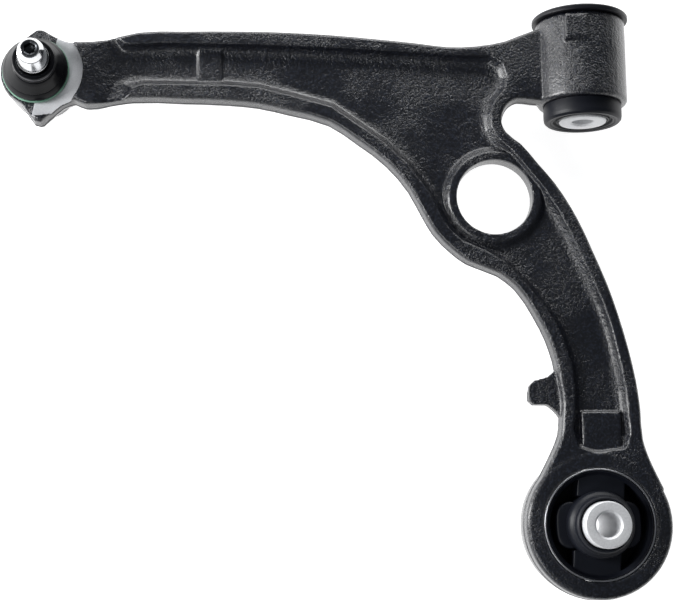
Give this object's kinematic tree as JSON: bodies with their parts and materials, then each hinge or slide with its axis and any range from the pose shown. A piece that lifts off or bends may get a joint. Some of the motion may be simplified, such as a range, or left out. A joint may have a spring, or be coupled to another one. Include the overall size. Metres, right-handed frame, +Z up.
{
  "type": "suspension control arm",
  "caption": "Cast L-shaped lower suspension arm with a ball joint at the outer end, a horizontal front bush and a vertical rear bush.",
  "frame": {"origin": "middle of the whole part's box, on the surface that it lies on", "axes": "+X inboard from the ball joint to the bushes, +Y forwards along the pivot axis, +Z up along the ball stud and the rear bush"},
  "size_m": [0.3928, 0.3538, 0.0767],
  "materials": {
    "cast_black": "black coated rough casting, semi-gloss",
    "bright_steel": "machined and polished",
    "seat_plastic": "moulded, smooth",
    "cover_steel": "pressed and plated",
    "boot_rubber": "satin moulded rubber",
    "ring_green": "pale green, satin",
    "ring_wire": "dark spring wire",
    "bush_black": "black coated, satin",
    "bush_rubber": "matt moulded rubber",
    "sleeve_metal": "sawn and speckled end faces",
    "shell_steel": "bright turned edge"
  },
  "bodies": {
    "arm": {"control_arm_casting": "cast_black", "upper_ball_seat": "seat_plastic", "lower_ball_seat": "seat_plastic", "ball_joint_cover": "cover_steel", "boot_lower_ring": "ring_green", "front_bush_outer_tube": "bush_black", "front_bush_rubber": "bush_rubber", "rear_bush_outer_shell": "shell_steel"},
    "boot": {"dust_boot": "boot_rubber"},
    "boot_neck": {"boot_upper_ring": "ring_wire"},
    "stud": {"ball_stud": "bright_steel"},
    "front_sleeve": {"front_bush_inner_sleeve": "sleeve_metal"},
    "rear_hub": {"rear_bush_rubber": "bush_rubber"},
    "rear_sleeve": {"rear_bush_inner_sleeve": "sleeve_metal"}
  },
  "joints": [
    {"name": "stud_swing_fore_aft", "type": "hinge", "parent": "arm", "child": "boot", "pos_m": [-0.1748, 0.1365, 0.0249], "axis": [1, 0, 0], "range_deg": [-20, 20], "deforming": ["dust_boot"]},
    {"name": "stud_swing_sideways", "type": "hinge", "parent": "boot", "child": "boot_neck", "pos_m": [-0.1748, 0.1365, 0.0249], "axis": [0, 1, 0], "range_deg": [-24, 16]},
    {"name": "stud_spin", "type": "hinge", "parent": "boot_neck", "child": "stud", "pos_m": [-0.1748, 0.1365, 0.0249], "axis": [0.0698, 0, 0.9976], "continuous": true},
    {"name": "front_sleeve_twist", "type": "hinge", "parent": "arm", "child": "front_sleeve", "pos_m": [0.1536, 0.1423, 0.0289], "axis": [0, 1, 0], "range_deg": [-25, 25], "stiffness_Nm_per_rad": 60, "deforming": ["front_bush_rubber"]},
    {"name": "rear_hub_shift", "type": "slide", "parent": "arm", "child": "rear_hub", "axis": [1, 0, 0], "range_m": [-0.0025, 0.0025], "stiffness_N_per_m": 300000, "deforming": ["rear_bush_rubber"]},
    {"name": "rear_sleeve_tilt", "type": "hinge", "parent": "rear_hub", "child": "rear_sleeve", "pos_m": [0.1536, -0.1341, 0.02505], "axis": [0, 1, 0], "range_deg": [-8, 8], "stiffness_Nm_per_rad": 100}
  ]
}
